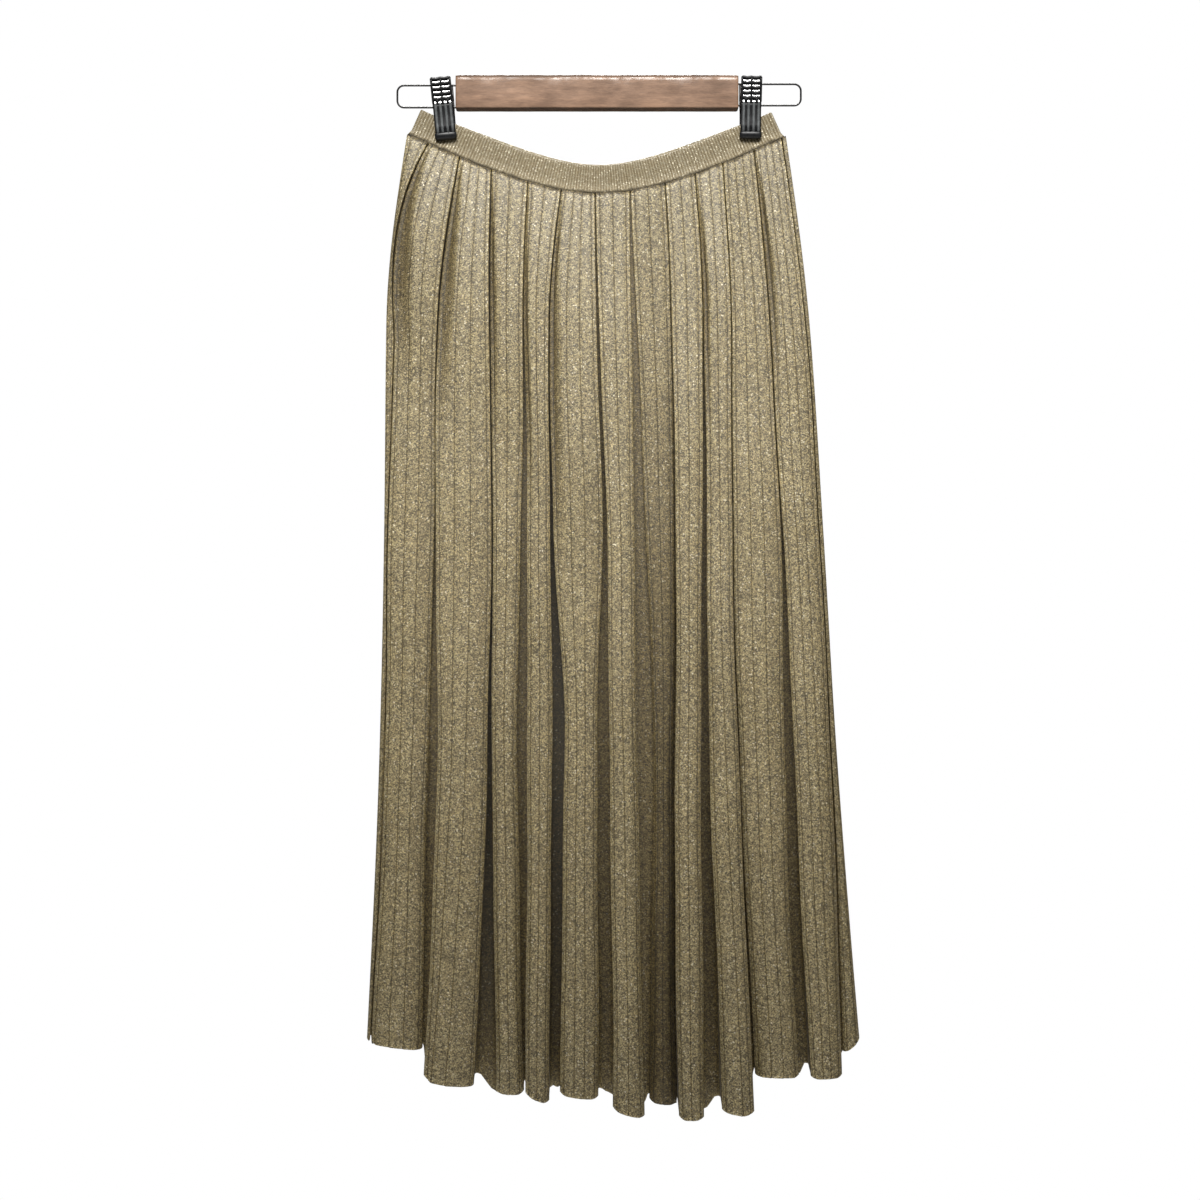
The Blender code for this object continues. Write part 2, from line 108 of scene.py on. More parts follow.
# A row for each face from the left side seam: edges as seen at five heights, how far forward both edges stand
# at the hem, both lengths, the floor of the recess on the right, and the knit lines between the two near the
# folds.
Pleat = namedtuple("Pleat", "waist hip thigh knee hem hem_y length floor_y lines")
PLEATS = (
    Pleat((-172.8, -154), (-191.5, -184), (-193.5, -190), (-197.5, -194), (-209, -205.5),
          (-5, -10), (813, 804.5), -5, 0),
    Pleat((-153.2, -126), (-183, -145), (-189, -148.5), (-193, -154), (-204.5, -159.5),
          (-13, -20), (805, 798.5), -11, 2),
    Pleat((-125, -97.5), (-144, -99), (-147.5, -97.5), (-146, -100), (-158, -114),
          (-40, -45), (816, 812.5), -18, 2),
    Pleat((-96.5, -64.5), (-98, -67.5), (-96.5, -69.5), (-96, -74), (-93.5, -67.5),
          (-32, -32), (820, 809), -19, 1),
    Pleat((-63.5, -34.5), (-66.5, -45), (-64, -44), (-65, -42.5), (-66, -45),
          (-48, -50), (806, 805), -20, 1),
    Pleat((-33.5, -4), (-44, -2.5), (-41, 2.5), (-31.5, -1), (-35, -1),
          (-48, -50), (798, 798), -24, 2),
    Pleat((-3, 27.5), (0, 28.5), (6.5, 32.5), (10, 34), (12.5, 41.5),
          (-60, -58), (804, 814), -18, 1),
    Pleat((28.5, 59), (33.5, 65), (42.5, 68.5), (49, 67.5), (46, 71),
          (-27, -27), (809, 819), -18, 1),
    Pleat((60, 86), (66, 93.5), (69.5, 92.5), (68.5, 92.5), (72, 94.5),
          (-60, -60), (822, 831), -26, 1),
    Pleat((87, 111), (94.5, 118), (96.5, 120.5), (100, 125), (111, 141),
          (-57, -62), (826, 835), -18, 1),
    Pleat((112, 139), (119, 153.5), (121.5, 163.5), (126, 167), (142, 180),
          (-33, -34), (812, 823), -14, 2),
    Pleat((140, 164), (154.5, 185), (165.5, 197.5), (175.5, 209), (191, 218.5),
          (-42, -36), (823, 833), -5, 2),
    Pleat((165, 168.3), (186, 189.3), (198.5, 202), (210, 213.5), (219.5, 235),
          (-11, -5), (820, 811), 0, 0),
)

# Rows from the waist to the hem, as shares of the way down, closer together near the waist and at both edges
ROWS = 108
ROW_CLOSENESS = 1.1
EDGE_ROWS = (0.0009, 0.0024, 0.9955, 0.998, 0.9993)

# Points beside each fold: distance from it, a mark that is -1 on its light rim, has an inner point
# The light rim of each fold is a painted highlight.
FOLD_STEPS = ((0, -1, True), (0.35, -1, False), (0.9, -0.6, False), (1.7, 0, True))

# Rounding of the folds and crown of the faces, each at the waist and at the hem. A face that is narrower than
# its full width has smaller ones, and narrower sunk lines.
FOLD_RADIUS = (0.7, 5.0)
CROWN = (0.3, 4.0)
RECESS_ROUNDING = (0.6, 5.0)
GROWTH = 1.3
CROWN_WIDTH = 20.0
FULL_WIDTH = 14.0
WIDEST_FOLD = 0.36
FOLD_DEPTH = 0.75
CORNER_REACH = 6.0

# Sunk knit lines
LINE_HALF = 0.9
LINE_DEPTH = 0.45

# Slow swings of the folds: how far, and how many waves down the cloth
EDGE_WANDER = 1.0
EDGE_WAVES = (1.7, 3.9)
FACE_WANDER = 1.2
FACE_WAVES = (2.3, 5.1)
FACE_SEED = 7.3
BACK_SEED = 20
FREE_DEPTH = 15.0

# The face's top edge tucks in under the band and stands up over the seam. The hem has a fine bead.
TOP_TUCK = 0.8
TOP_TUCK_REACH = 3.0
TOP_RISE = 1.1
TOP_RISE_REACH = 6.0
HEM_BEAD = 0.35
HEM_BEAD_REACH = 3.5

# Near the waist some faces stand out and fall back at their left side, which leaves a shaded dent beside the
# fold that lies over them. All are in millimetres: how far down it reaches, the dent's width, how far the
# face stands out and how far its right fold swings to the left.
Puff = namedtuple("Puff", "reach dent lift swing")
PUFFS = {
    0: Puff(180, 0, 6.0, 10.0),
    1: Puff(230, 15, 8.0, 0),
    2: Puff(260, 12, 7.0, 0),
    3: Puff(260, 5, 4.0, 1.5),
    4: Puff(300, 4, 4.5, 0),
    5: Puff(360, 8, 5.0, 0),
    9: Puff(260, 5, 2.5, 0),
    11: Puff(240, 6, 3.0, 0),
}

# Painted shade in the knit's colour: the dents, some recesses, some faces and every face's right side.
# How dark the dents, some recesses, some faces and every face's right side are, 1 being usual for a recess,
# and how far the sunk lines of some faces run to the left lower down, in millimetres
DENT_SHADE = 1.0
GAP_SHADE = {2: 2.5, 3: 1.2, 4: 2.4, 6: 0.85, 8: 1.2}
HEM_GAP_SHADE = 0.5
FACE_SHADE = {7: 1.0}
SIDE_SHADE = 0.45
LINE_DRIFT = {2: 9.0, 9: -4.0}

# Ribs of the band, and its rows: share of the way up, and 1 outside to -1 inside
RIB_PITCH = 2.5
RIB_HEIGHT = 0.6
RIB_STEPS = 4
RIB_AT_SEAM = 0.4
BAND_ROWS = (
    (0, 1.0), (0.06, 1.0), (0.2, 1.0), (0.4, 1.0), (0.6, 1.0), (0.8, 1.0), (0.93, 1.0),
    (0.98, 0.8), (1.0, 0.0), (0.98, -0.8), (0.8, -1.0), (0.4, -1.0), (0, -1.0),
)
# Painted shade on the band: its lowest rows along the seam and its top fold line.
BAND_SHADE = {0: 1.0, 0.06: 0.5, 1.0: 0.5}
BAND_END_STEPS = 6
BAND_END_DROP = 1.4

# Colours and shades of the knit. Its sizes are in metres.
# A knit's line_shade is how dark the painted shade on its sunk lines and marks is.
Knit = namedtuple("Knit", "colour grain_size grain_depth line_shade glint_share")
SKIRT_KNIT = Knit((0.274, 0.224, 0.116), 0.0012, 0.76, 0.25, 0.03)
BAND_KNIT = Knit((0.217, 0.186, 0.124), 0.0013, 0.2, 0.5, 0.003)
STITCH = 0.0019
# Painted highlight on fold rims and along the hem: how far up from the hem it reaches, and how much lighter.
HEM_EDGE = 0.003
PAINTED_EDGE_HIGHLIGHT = 1.5
# Painted shade: how dark it makes the colour, and the warm tint of painted shade, sunk lines and the seam.
PAINTED_SHADE_LEVEL = 0.4
PAINTED_SHADE_TINT = (1.0, 0.9, 0.62)
WARM_TINT = (1.06, 0.98, 0.76)
COOL_TINT = (0.98, 1.0, 1.03)
GLINT = (0.95, 0.87, 0.66)
GLINT_SIZE = 0.0011
# Painted shadow of the band along the seam, with a ragged edge, and a painted highlight on the cloth just
# below it.
SEAM_LINE = (0.0012, 0.003)
SEAM_SHADE = 0.32
SEAM_RAGGED = 0.001
BELOW_SEAM = (0.003, 0.009)
PAINTED_LIGHT_BELOW_SEAM = 1.15
# Gloss and glints kept on sunk lines and the seam, and in the painted shade of recesses.
GLOSS_LEFT = 0.15
GLOSS_IN_RECESS = 0.25
NOISE_RANGE = (0.3, 0.7)

# Hanger's bar, and the heights in metres of the painted shade along its top and bottom edges
BAR_LEFT = -128.7
BAR_RIGHT = 125.1
BAR_HEIGHT = 30.6
BAR_DEPTH = 12.0
BAR_ROUNDING = 1.1
BAR_CORNER_STEPS = 6
BAR_WORN_EDGE = (
    (-6, -16), (-6, -5.6), (-5.96, -5), (-5.78, -3.7), (-5.62, -3), (-5.2, -1.6), (-4.5, -0.6), (-3.4, 0),
)
BAR_END_STEPS = (0, 0.5, 1.4)
BAR_END_SHRINK = 0.7
BAR_TOP_PAINTED_SHADE = (-0.003, -0.0016)
BAR_LOW_PAINTED_SHADE = (-0.0302, -0.0292)

# Wire loops: outer end, top and bottom of each
WIRE_CORNER = 6.0
WIRE_IN_BAR = 15.0
WIRE_RADIUS = 0.85
LOOPS = {"left": (-182.3, -8.6, -28.4), "right": (182.5, -7.4, -26.6)}

# Clips. In its own place a jaw faces -Y, and its front runs through these heights and depths.
Clip = namedtuple("Clip", "side x z tilt")
CLIPS = (Clip("left", -142.2, -1.6, 5.2), Clip("right", 136.5, -0.6, -0.6))
JAW_FRONT = ((-3.3, -12.9), (-9, -12.6), (-28, -9.5), (-38, -8), (-50, -8), (-54.5, -7.4), (-57, -6))
CLIP_HALF = 9.4
CLIP_TOP = -4.2
POST_INSET = 1.0
POST_HALF = 1.0
POST_DEPTH = 1.1
MIDDLE_POST_HALF = 0.9
LATTICE_ROWS = 5
LATTICE_PITCH = 4.3
LATTICE_BAR = 1.25
LATTICE_DEPTH = 0.9
LATTICE_INSET = 0.8
LATTICE_SAG = 0.55
LATTICE_DROP = 0.3
LATTICE_WAVE = 7.6
HOLE_HEIGHT = 3.6
HOLE_POSTS = (-4.7, 0, 4.8)
HOLE_POST_HALF = 1.3
HOLE_POST_DEPTH = 1.0
FOOT_TOP = -52.0
PLATE_HEIGHTS = (-28, -33, -38, -45, FOOT_TOP)
PLATE_IN = 2.0
PLATE_DEPTH = 0.9
RIB_PLACES = (-7.0, -2.3, 2.4, 7.2)
RIB_HALF = 1.15
RIB_DEPTH = 0.95
RIB_IN = 0.9
RIB_TOP = -25.6
OUTER_RIB_INSET = 0.4
FOOT_IN = 1.7
CHEEKS = ((-14, -21), (-21, -29))
CHEEK_HALF = 0.95
CHEEK_BACK_Y = -1.4
FOOT = (
    (FOOT_TOP + 0.4, 9.4, 1.8), (FOOT_TOP, 9.9, 2.3), (-55.3, 9.9, 2.3), (-56.8, 8.9, 2.0), (-57.1, 8.6, 1.6),
)

# Springs: a steel coil between the jaws, and a bright leaf with small steps behind the lattice
SPRING_COIL = 2.75
SPRING_WIRE = 0.6
SPRING_SPAN = 11.5
SPRING_Z = -18.2
SPRING_TURNS = 9
SPRING_STEPS = 14
LEAF_STEP = 0.6
LEAF_DEPTH = 2.1


def between(start, end, share):
    """The value a share of the way from start to end."""
    return start + (end - start) * share


def smooth_through(places, values, at):
    """The value at one place on a smooth curve that runs through the values and never swings past them."""
    count = len(values)
    step = [places[k + 1] - places[k] for k in range(count - 1)]
    slope = [(values[k + 1] - values[k]) / step[k] for k in range(count - 1)]
    lean = [0.0] * count
    for k in range(1, count - 1):
        if slope[k - 1] * slope[k] > 0:
            lean[k] = 2 * slope[k - 1] * slope[k] / (slope[k - 1] + slope[k])
    lean[0] = 1.5 * slope[0] - 0.5 * lean[1]
    lean[-1] = 1.5 * slope[-1] - 0.5 * lean[-2]
    k = 0
    while k < count - 2 and at > places[k + 1]:
        k += 1
    f = (at - places[k]) / step[k]
    start = (1 + 2 * f) * (1 - f) ** 2 * values[k] + f * (1 - f) ** 2 * step[k] * lean[k]
    end = f * f * (3 - 2 * f) * values[k + 1] - f * f * (1 - f) * step[k] * lean[k + 1]
    return start + end


def seam_z(x, back):
    """The height of the waist seam."""
    rise = SEAM_STEEPNESS * (math.hypot(SEAM_BEND, x) - SEAM_BEND)
    return SEAM_LOW_Z + rise + (BACK_RAISE * (1 - (x / WAIST_HALF) ** 2) if back else 0)


def waist_opening(x):
    """How much further the waist stands out here than where it is pinched."""
    return WAIST_OPENING * math.cos(math.pi / 2 * min(1, abs(x) / OPEN_HALF_WIDTH)) ** 2


def recess_shift(recess, down, back):
    """The back's recesses stand a little to one side of the front's, more so lower down."""
    inner = back and 0 < recess < len(PLEATS) - 2
    return BACK_SHIFT * math.sin(2.4 * recess + 1) * down if inner else 0


def wander(seed, down, waves):
    """A slow, small swing along the cloth, between -1 and 1, that starts from nothing at the waist."""
    slow, fast = waves
    swing = 0.65 * math.sin(2 * math.pi * slow * down + 2.1 * seed)
    swing += 0.35 * math.sin(fast * 6.3 * down + 4.7 * seed)
    return swing * min(1, 4 * down)


def swell(down, length, reach):
    """How much of a puff is there, from nothing at the waist to 1 and back to nothing at its reach."""
    share = down * length / reach
    return math.sin(math.pi * share**0.7) ** 1.3 if 0 < share < 1 else 0.0


def eased(share):
    """A share held between 0 and 1 that starts and ends softly."""
    share = min(1, max(0, share))
    return share * share * (3 - 2 * share)


def face_edge(row, side, down, back):
    """X, Y and length of a face's left edge, side 0, or right edge, side 1, a share of the way down."""
    pleat = PLEATS[row]
    top = seam_z(pleat.waist[side], back)
    length = pleat.length[side] - CORNER_LIFT
    heights = (0, top - HIP_Z, top - THIGH_Z, top - KNEE_Z, length)
    seen = [stage[side] for stage in (pleat.waist, pleat.hip, pleat.thigh, pleat.knee, pleat.hem)]
    recess = row - 1 + side
    seed = BACK_SEED if back else 0
    x = smooth_through(heights, seen, down * length) + recess_shift(recess, down, back)
    if 0 <= recess < len(PLEATS) - 1:
        x += EDGE_WANDER * wander(recess + seed, down, EDGE_WAVES)
    if recess in PUFFS:
        x -= PUFFS[recess].swing * swell(down, length, PUFFS[recess].reach)
    y = between(WAIST_FACE_Y - waist_opening(pleat.waist[side]), pleat.hem_y[side], down**0.9)
    y += FACE_WANDER * wander(row + FACE_SEED + seed, down, FACE_WAVES) * min(1, -y / FREE_DEPTH)
    return [x * (EYE_DISTANCE + y) / EYE_DISTANCE, y, length]


def undercut(width, down):
    """How far a fold's hidden layer lies in behind its face, and how far back the fold's second corner is."""
    reach = max(0, width / 2 - UNDERCUT_MARGIN)
    return reach * (1 - down) ** 1.1, FOLD if reach else FOLD / 2


def sunk_line(place, half):
    """The three points across a sunk line."""
    return [(place - half, 0, False), (place, 1, False), (place + half, 0, False)]


def face_places(width, lines, drift):
    """Distances from a face's left edge: (place, how much of a sunk line is there, has an inner point)."""
    unit = min(1, width / FULL_WIDTH)
    line = RIB_FROM_FOLD * unit
    half = LINE_HALF * unit
    near = [(step * unit, mark, inner) for step, mark, inner in FOLD_STEPS] + sunk_line(line, half)
    stops = [between(line, width - line, k / (lines + 1)) for k in range(lines + 2)]
    stops[1:-1] = [stop - drift for stop in stops[1:-1]]
    middle = []
    for k, (low, high) in enumerate(zip(stops, stops[1:], strict=False)):
        if k:
            middle += sunk_line(low, half)
        middle += [(between(low, high, 0.3), 0, False), (between(low, high, 0.7), 0, k == lines // 2)]
    far = [(width - place, mark, inner) for place, mark, inner in reversed(near)]
    return near + middle + far


# A point of a wall's section: where it is, how long the cloth is there from the waist to the hem, its mark,
# whether the wall's inside has this point too, how far from its face's middle it is, and how dark it is. The
# mark is 1 on a sunk line and -1 on a fold's light rim. A point in a recess has no distance from a middle.
# A point's shade is painted shade in the knit's colour, and a fold's light rim gets a painted highlight.
Point = namedtuple("Point", "x y length mark inner across shade")


def face_points(row, left, right, down):
    """A face from edge to edge: rounded at its folds, crowned, with sunk knit lines and its puff."""
    width = right[0] - left[0]
    unit = min(1, width / FULL_WIDTH)
    radius = min(between(*FOLD_RADIUS, down**GROWTH), WIDEST_FOLD * width)
    crown = between(*CROWN, down**GROWTH) * min(1, width / CROWN_WIDTH)
    drift = LINE_DRIFT.get(row, 0) * down**2.5
    puff = PUFFS.get(row)
    grown = swell(down, left[2], puff.reach) if puff else 0
    points = []
    for place, mark, inner in face_places(width, PLEATS[row].lines, drift):
        share = place / width
        # Painted shade on some whole faces lower down, on each face's right side, and in the dent beside a
        # puff.
        shade = FACE_SHADE.get(row, 0) * eased(1.3 * down)
        shade += SIDE_SHADE * eased(1.6 * down) * max(0, share / 0.5 - 1) ** 1.6
        from_edge = min(place, width - place)
        roll = radius * (1 - math.sqrt(1 - (1 - from_edge / radius) ** 2)) if from_edge < radius else 0
        y = between(left[1], right[1], share) + roll * FOLD_DEPTH
        y -= crown * (4 * share * (1 - share) - 0.25)
        if grown:
            dent = puff.dent * min(1, 0.15 + 2 * down * left[2] / puff.reach)
            stands = eased((place / dent - 0.45) / 0.75) if dent else share**0.6
            y -= puff.lift * grown * stands
            shade += DENT_SHADE * grown * (1 - stands) if dent else 0
        y += LINE_DEPTH * unit * max(0, mark)
        length = between(left[2], right[2], share) + CORNER_LIFT * math.sqrt(eased(from_edge / CORNER_REACH))
        points.append(Point(left[0] + place, y, length, mark, inner, place - width / 2, shade))
    return points


def recess_points(right, after, undercuts, floor_y, down, shade):
    """The folded layers from one face's right edge to the next one's left edge, round the recess's floor."""
    (in_left, left_fold), (in_right, right_fold) = undercuts
    x_left, x_right = right[0] - in_left, after[0] + in_right
    rounding = min(between(*RECESS_ROUNDING, down), max(0.2, 0.3 * (x_right - x_left)))
    bend = 0.3 * rounding
    lengths = [between(right[2], after[2], share) - RECESS_LIFT for share in (0.1, 0.3, 0.5, 0.7, 0.9)]
    points = [
        (right[0], right[1] + left_fold, right[2]),
        (x_left, floor_y - rounding, lengths[0]),
        (x_left + bend, floor_y - bend, lengths[0]),
        (x_left + rounding, floor_y, lengths[1]),
        ((x_left + x_right) / 2, floor_y, lengths[2]),
        (x_right - rounding, floor_y, lengths[3]),
        (x_right - bend, floor_y - bend, lengths[4]),
        (x_right, floor_y - rounding, lengths[4]),
        (after[0], after[1] + right_fold, after[2]),
    ]
    return [Point(*point, 0, True, None, shade) for point in points]


def wall_section(down, back):
    """The points of one section of a panel, from its left side seam to its right one."""
    edges = [[face_edge(row, side, down, back) for side in (0, 1)] for row in range(len(PLEATS))]
    for (_, right), (left, _) in zip(edges, edges[1:], strict=False):
        short = MIN_MOUTH - (left[0] - right[0])
        if short > 0:
            deeper = right if right[1] > left[1] else left
            deeper[0] += -short if deeper is right else short
    start, end = edges[0][0], edges[-1][1]
    points = [Point(start[0], -SEAM_GAP / 2, start[2], 0, True, None, 1)]
    for row, (left, right) in enumerate(edges):
        points += face_points(row, left, right, down)
        if row < len(edges) - 1:
            after, after_right = edges[row + 1]
            closed = WAIST_FACE_Y - waist_opening(PLEATS[row].waist[1]) + CLOSED_DEPTH
            undercuts = undercut(right[0] - left[0], down), undercut(after_right[0] - after[0], down)
            floor_y = between(closed, PLEATS[row].floor_y, down**1.1)
            # Painted shade in the recess, less of it at the hem.
            shade = between(GAP_SHADE.get(row, 1), HEM_GAP_SHADE, down**8)
            points += recess_points(right, after, undercuts, floor_y, down, shade)
    points.append(Point(end[0], -SEAM_GAP / 2, end[2], 0, True, None, 1))
    return points


def moved_in(line, distance):
    """A line's points moved to its inner side, which is on the left as it runs towards +X."""
    run = np.diff(line[:, :2], axis=0)
    run /= np.maximum(np.linalg.norm(run, axis=1), 1e-6)[:, None]
    side = np.stack((-run[:, 1], run[:, 0]), axis=1)
    before = np.vstack((side[:1], side))
    after = np.vstack((side, side[-1:]))
    turn = (before + after) / np.maximum(1 + (before * after).sum(axis=1), 0.5)[:, None]
    moved = line.copy()
    moved[:, :2] += distance * turn
    return moved


def grid_faces(rows, count, closed=False):
    """Quads between rows of points, count in each row."""
    last = count if closed else count - 1
    return [
        (n * count + k, n * count + (k + 1) % count, (n + 1) * count + (k + 1) % count, (n + 1) * count + k)
        for n in range(rows - 1)
        for k in range(last)
    ]


def mesh_from(name, points, faces, finish):
    """A smooth mesh object from points in millimetres."""
    mesh = bpy.data.meshes.new(name)
    mesh.from_pydata((np.asarray(points) * MM).tolist(), [], faces)
    mesh.validate()
    shape = bmesh.new()
    shape.from_mesh(mesh)
    shape.normal_update()
    bmesh.ops.recalc_face_normals(shape, faces=shape.faces[:])
    shape.to_mesh(mesh)
    shape.free()
    mesh.shade_smooth()
    mesh.materials.append(finish)
    made = bpy.data.objects.new(name, mesh)
    bpy.context.scene.collection.objects.link(made)
    return made


def add_numbers(piece, name, values):
    """A number for each point, for the materials."""
    layer = piece.data.attributes.new(name, "FLOAT", "POINT")
    layer.data.foreach_set("value", np.asarray(values, dtype=np.float32))


def add_places(piece, name, values):
    """A place on the cloth for each point, in metres, for the materials."""
    layer = piece.data.attributes.new(name, "FLOAT_VECTOR", "POINT")
    layer.data.foreach_set("vector", np.asarray(values, dtype=np.float32).ravel())


def top_rise(point):
    """How far a point of a face's top edge stands up over the seam, a little different for each face."""
    if point.across is None:
        return 0
    return TOP_RISE * (0.55 + 0.45 * math.sin(0.19 * point.x)) * (1 - 0.4 * min(0, point.mark) ** 2)


def top_heights(line, back):
    """The height where the cloth ends under the seam, for each point of a line."""
    return np.array([seam_z(x, back) for x in line[:, 0]]) - SEAM_GAP / 2 - SEAM_EASE


def panel_faces(rows, many, inner_at):
    """A panel's outside, its inside, and the rims that join them at both sides, the waist and the hem."""
    few = len(inner_at)
    shift = rows * many
    faces = grid_faces(rows, many)
    faces += [tuple(shift + k for k in face[::-1]) for face in grid_faces(rows, few)]
    for outer_end, inner_end in ((0, 0), (many - 1, few - 1)):
        for n in range(rows - 1):
            outside = (n * many + outer_end, (n + 1) * many + outer_end)
            faces.append((*outside, shift + (n + 1) * few + inner_end, shift + n * few + inner_end))
    for n in (0, rows - 1):
        for k, (start, end) in enumerate(zip(inner_at, inner_at[1:], strict=False)):
            rim = [n * many + place for place in range(start, end + 1)]
            faces.append((*rim, shift + n * few + k + 1, shift + n * few + k))
    return faces


def pleated_panel(name, back, finish):
    """One pleated wall with a plain inside, thick and closed, from the waist seam to the hem."""
    downs = sorted([(k / (ROWS - 1)) ** ROW_CLOSENESS for k in range(ROWS)] + list(EDGE_ROWS))
    at_waist = wall_section(0, back)
    inner_at = [k for k, point in enumerate(at_waist) if point.inner]
    plan = np.array([point[:3] for point in at_waist])
    tops = top_heights(plan, back)
    inner_tops = top_heights(moved_in(plan[inner_at], WALL), back)
    rise = np.array([top_rise(point) for point in at_waist])
    is_face = np.array([point.across is not None for point in at_waist])
    outer, inner, marks, places, shades = [], [], [], [], []
    for down in downs:
        section = wall_section(down, back)
        line = np.array([point[:3] for point in section])
        inside = moved_in(line[inner_at], WALL)
        below, to_hem = down * line[:, 2], (1 - down) * line[:, 2]
        tuck = TOP_TUCK * np.exp(-below / TOP_TUCK_REACH)
        bead = HEM_BEAD * np.exp(-((to_hem / HEM_BEAD_REACH) ** 2))
        line[:, 1] += np.where(is_face, tuck - bead, 0)
        for points, heights in ((line, tops), (inside, inner_tops)):
            points[:, 1] *= -1 if back else 1
            points[:, 2] = heights - down * points[:, 2]
        line[:, 2] += rise * np.exp(-below / TOP_RISE_REACH)
        outer.append(line)
        inner.append(inside)
        marks.extend(point.mark for point in section)
        shades.extend(point.shade for point in section)
        across = np.array([point.across or 0 for point in section])
        places.extend(np.stack((across * MM, below * MM, to_hem * MM), axis=1))
    inside_count = len(downs) * len(inner_at)
    faces = panel_faces(len(downs), len(plan), inner_at)
    piece = mesh_from(name, np.vstack((*outer, *inner)), faces, finish)
    add_numbers(piece, "sunk", [*marks, *([0] * inside_count)])
    # Painted shade for each point, and full painted shade on the inside.
    add_numbers(piece, "painted_shade", [*shades, *([1] * inside_count)])
    add_places(piece, "cloth", np.vstack((places, np.full((inside_count, 3), 0.1))))
    return piece


def band_middle(x, share, back):
    """A point of the band's middle line a share of the way up from the seam, and the seam's slope there."""
    slope = SEAM_STEEPNESS * x / math.hypot(SEAM_BEND, x)
    up = share * (BAND_HEIGHT + BAND_EXTRA_HEIGHT * (x / WAIST_HALF) ** 2) / math.hypot(1, slope)
    half = between(BAND_AT_SEAM, BAND_PINCHED, min(1, share / PINCH_SHARE)) + waist_opening(x)
    return (x - slope * up, half if back else -half, seam_z(x, back) + SEAM_GAP / 2 + up), slope


def band_line(share):
    """The band's middle line at one height, all the way round, with one point for each step of its ribs."""
    steps = int((BAND_RIGHT - BAND_LEFT) / RIB_PITCH) * RIB_STEPS
    places = np.linspace(BAND_LEFT, BAND_RIGHT, steps)
    line = []
    for back in (False, True):
        for x in places[::-1] if back else places:
            point, slope = band_middle(x, share, back)
            line.append(point)
        x, half, z = line[-1]
        for step in range(1, BAND_END_STEPS):
            angle = math.pi * step / BAND_END_STEPS
            out = half * math.sin(angle)
            line.append((x - out, half * math.cos(angle), z - slope * out * BAND_END_DROP))
    return np.array(line)


def waistband(finish):
    """A ring of fine ribs, folded over along its top."""
    points, marks, places = [], [], []
    for share, reach in BAND_ROWS:
        line = band_line(share)
        wrapped = np.vstack((line[-1:], line, line[:1]))
        count = len(line)
        wave = np.cos(2 * np.pi * np.arange(count) / RIB_STEPS)
        ribbed = RIB_HEIGHT * (wave - 1) / 2 * (RIB_AT_SEAM if share == 0 else 1)
        side = moved_in(wrapped, -1.0)[1:-1] - line
        points.append(line + side * (reach * BAND_WALL / 2 + ribbed * (reach > 0))[:, None])
        # Painted shade in the rib grooves and on the shaded rows, outside and on the top fold only.
        marks.extend(np.maximum((1 - wave) / 2, BAND_SHADE.get(share, 0)) * (reach >= 0))
        around = np.arange(count) * RIB_PITCH / RIB_STEPS
        up = np.full(count, share * BAND_HEIGHT * MM)
        places.extend(np.stack((around * MM, up, np.zeros(count)), axis=1))
    count = len(points[0])
    faces = grid_faces(len(BAND_ROWS), count, closed=True)
    last = (len(BAND_ROWS) - 1) * count
    faces += [(k, last + k, last + (k + 1) % count, (k + 1) % count) for k in range(count)]
    piece = mesh_from("waistband_knit", np.vstack(points), faces, finish)
    add_numbers(piece, "sunk", marks)
    add_places(piece, "cloth", places)
    return piece


